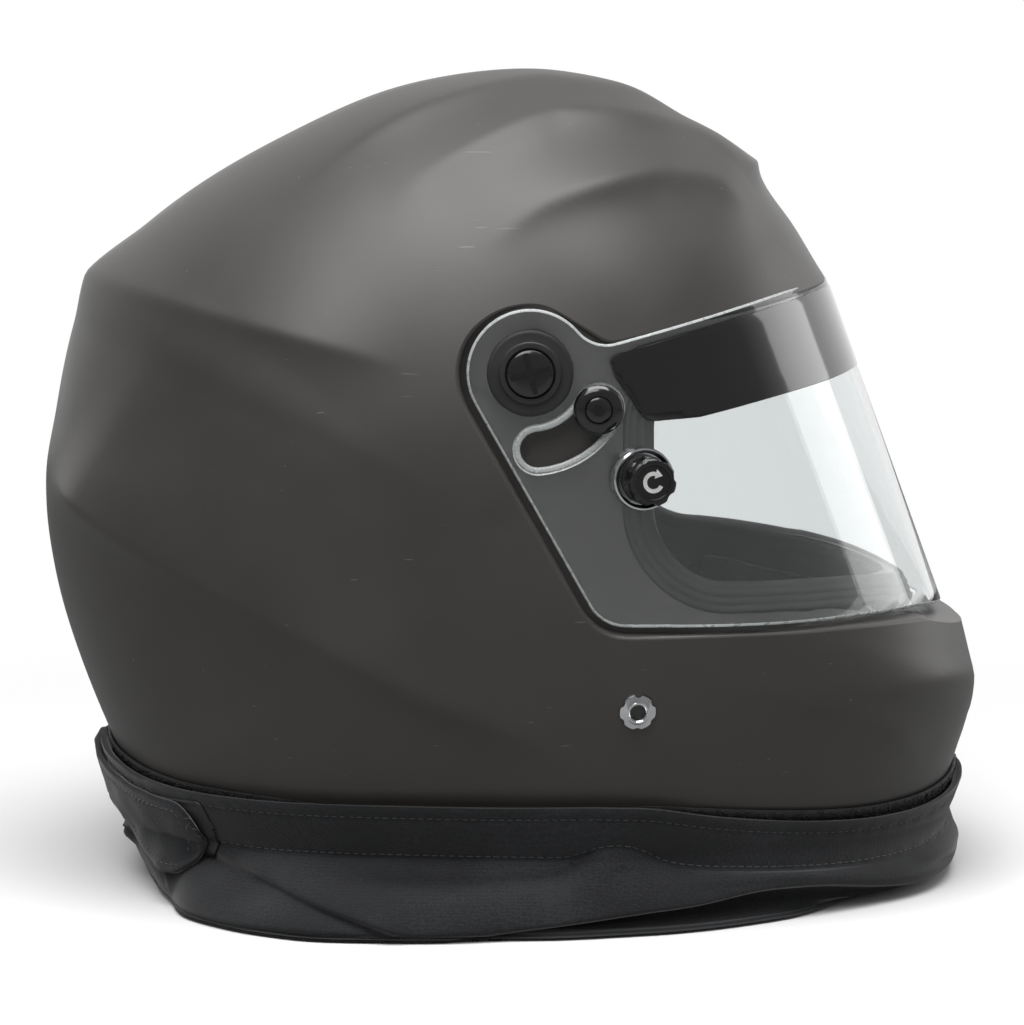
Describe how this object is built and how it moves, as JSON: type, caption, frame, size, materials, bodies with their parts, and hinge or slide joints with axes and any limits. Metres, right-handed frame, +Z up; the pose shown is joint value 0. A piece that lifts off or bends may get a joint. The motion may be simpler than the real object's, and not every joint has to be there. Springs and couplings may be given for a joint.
{
  "type": "full-face auto racing helmet",
  "caption": "Matt black full-face racing helmet with a tilting clear visor on slotted pivots, a dark sun strip, tear-off posts, padded lining and a bunched cloth skirt round the neck.",
  "frame": {"origin": "on the surface the helmet stands on, under the middle of its bounding box", "axes": "+X the way the wearer faces, +Y the wearer's left, +Z up; the picture looks along +Y at the wearer's right side"},
  "size_m": [0.3412, 0.2712, 0.291],
  "materials": {
    "shell_paint": "satin-matt black paint over a moulded laminate",
    "liner_foam": "moulded bead foam, black",
    "lining_cloth": "brushed knit over soft foam, charcoal",
    "chin_cloth": "brushed knit over firm foam, warm grey",
    "seal_rubber": "ribbed extruded rubber",
    "visor_clear": "clear moulded polycarbonate, lightly worn",
    "strip_film": "gloss black film",
    "black_nylon": "fine satin moulding",
    "gloss_black": "gloss moulding",
    "brass": "machined",
    "steel": "zinc plated",
    "bright_metal": "polished",
    "knob_black": "anodised black",
    "webbing": "woven nylon",
    "hook_pile": "fuzzy hook tape",
    "skirt_cloth": "smooth knitted flame-proof cloth, black"
  },
  "bodies": {
    "helmet": {"outer_shell": "shell_paint", "foam_liner": "liner_foam", "chin_bar_liner": "chin_cloth", "crown_liner": "lining_cloth", "neck_roll": "lining_cloth", "cheek_pad_right": "lining_cloth", "cheek_pad_left": "lining_cloth", "eyeport_seal": "seal_rubber", "rim_trim": "seal_rubber", "pivot_inserts": "brass", "pivot_bushes": "black_nylon", "pivot_washers": "black_nylon", "pivot_screws": "gloss_black", "guide_inserts": "brass", "guide_sleeves": "steel", "guide_washers": "gloss_black", "guide_screws": "steel", "anchor_terminals": "bright_metal", "anchor_nuts": "steel", "strap_brackets": "steel", "chin_strap_right": "webbing", "chin_strap_left": "webbing", "hook_tape": "hook_pile", "skirt_band": "skirt_cloth", "skirt_cloth": "skirt_cloth", "skirt_tab": "skirt_cloth"},
    "visor": {"visor": "visor_clear", "sun_strip": "strip_film", "post_base_right": "bright_metal", "post_base_left": "bright_metal"},
    "knob_right": {"post_knob_right": "knob_black"},
    "knob_left": {"post_knob_left": "knob_black"}
  },
  "joints": [
    {"name": "visor_tilt", "type": "hinge", "parent": "helmet", "child": "visor", "pos_m": [0.006, 0, 0.1883], "axis": [0, -1, 0], "range_deg": [0, 55]},
    {"name": "post_turn_right", "type": "hinge", "parent": "visor", "child": "knob_right", "pos_m": [0.0421, -0.1176, 0.1538], "axis": [0.225, -0.9744, 0], "range_deg": [0, 180]},
    {"name": "post_turn_left", "type": "hinge", "parent": "visor", "child": "knob_left", "pos_m": [0.0421, 0.1176, 0.1538], "axis": [0.225, 0.9744, 0], "range_deg": [0, 180]}
  ]
}
